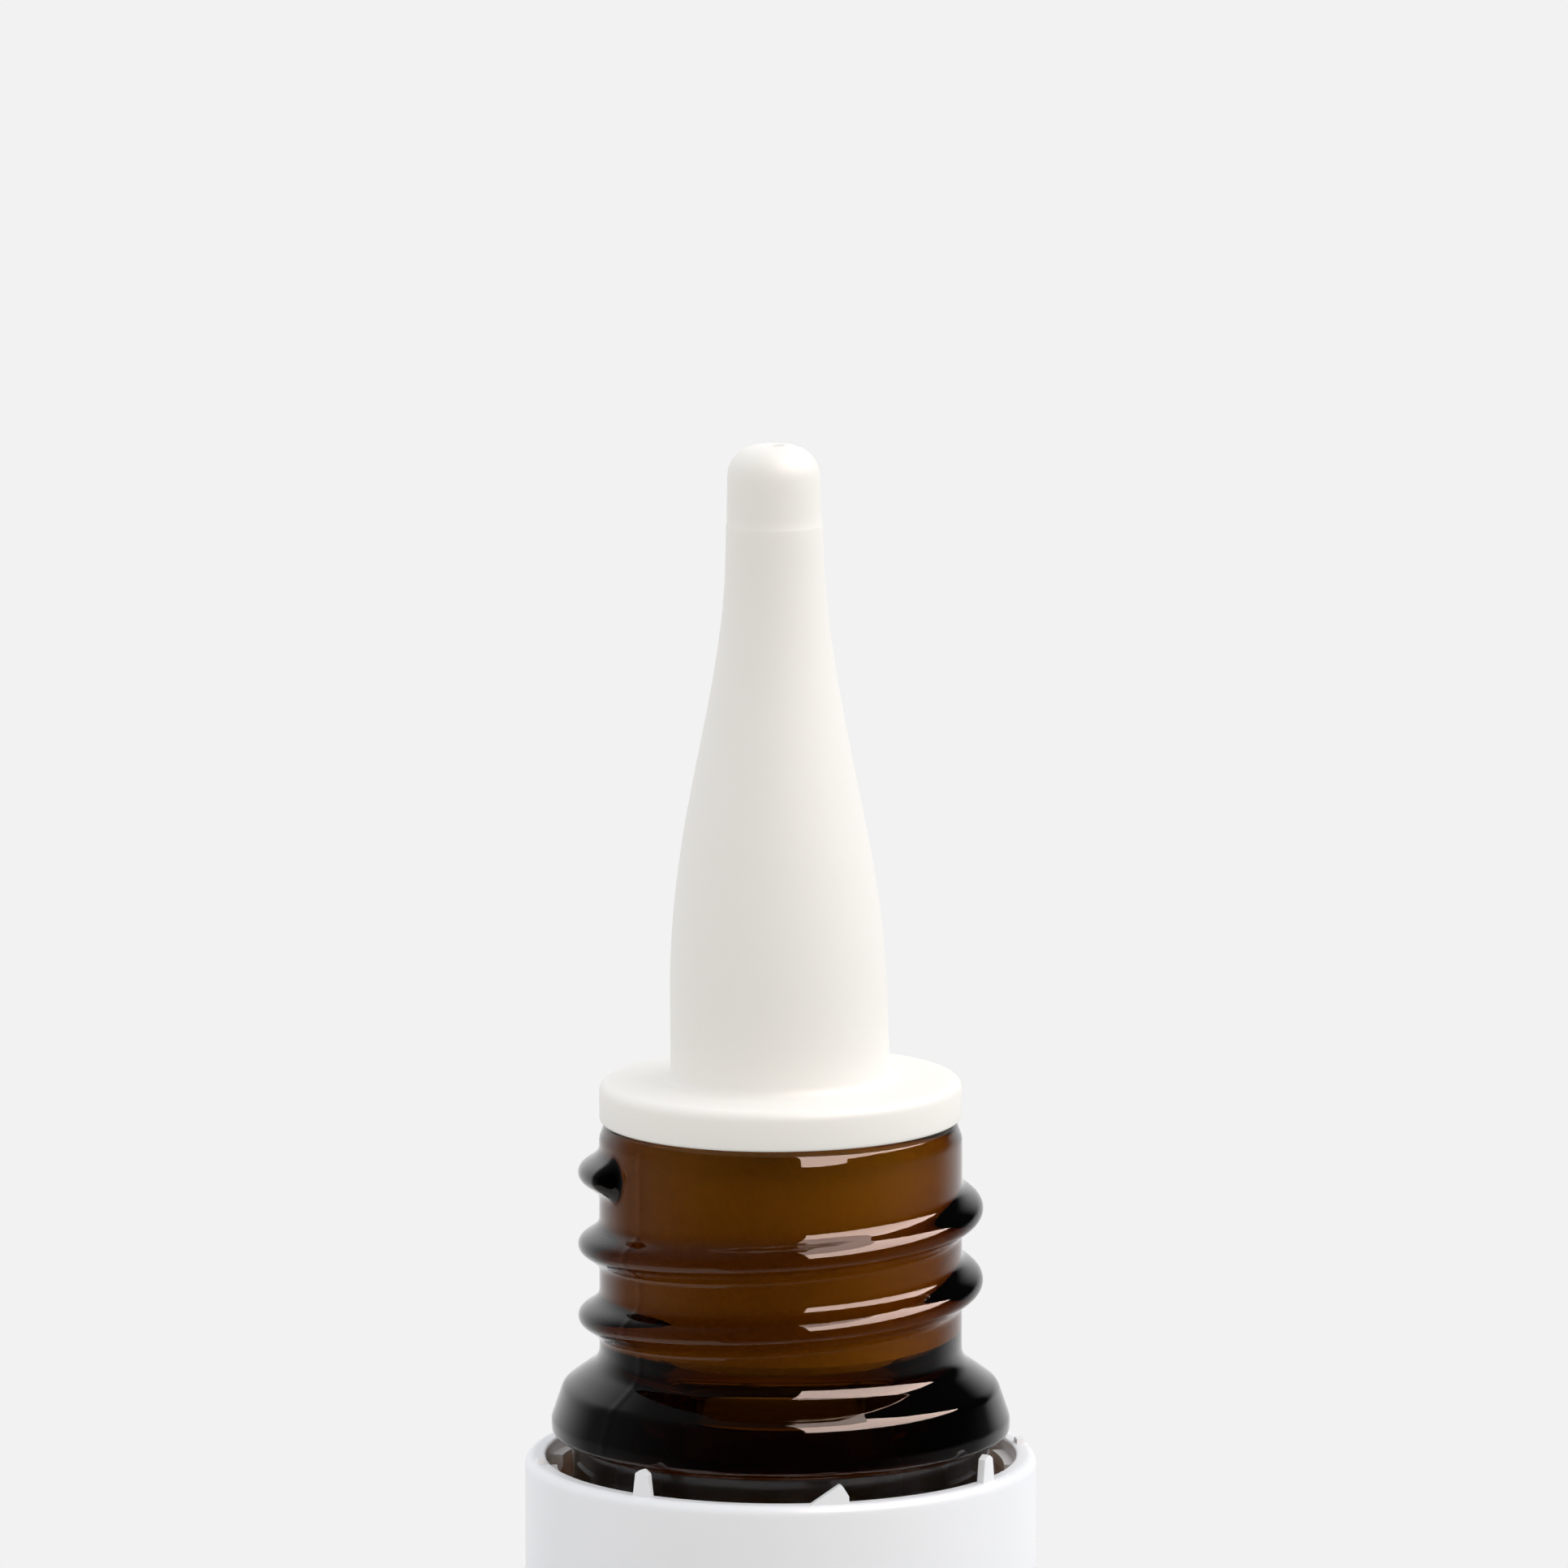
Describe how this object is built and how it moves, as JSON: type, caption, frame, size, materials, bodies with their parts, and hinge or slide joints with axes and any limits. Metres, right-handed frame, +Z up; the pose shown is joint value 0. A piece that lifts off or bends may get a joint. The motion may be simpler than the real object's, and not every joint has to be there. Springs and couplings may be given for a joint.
{
  "type": "dropper bottle",
  "caption": "Small amber glass bottle with a screw neck, a torn tamper band and a long soft dropper nozzle pushed into its mouth.",
  "frame": {"origin": "centre of the bottle's foot, in the plane that it stands on", "axes": "+Z up the bottle's axis to the nozzle's tip, -Y towards the side that the picture shows"},
  "size_m": [0.0248, 0.0248, 0.0876],
  "materials": {
    "amber_glass": "polished moulded amber glass",
    "nozzle_plastic": "soft white polyethylene with a satin sheen",
    "band_plastic": "hard white polypropylene with a light gloss"
  },
  "bodies": {
    "bottle": {"glass_bottle": "amber_glass"},
    "nozzle": {"dropper_nozzle": "nozzle_plastic"},
    "band": {"tamper_band": "band_plastic"}
  },
  "joints": [
    {"name": "nozzle_pull", "type": "slide", "parent": "bottle", "child": "nozzle", "axis": [0, 0, 1], "range_m": [0, 0.0107]},
    {"name": "band_spin", "type": "hinge", "parent": "bottle", "child": "band", "pos_m": [0, 0, 0.0407], "axis": [0, 0, 1], "continuous": true}
  ]
}
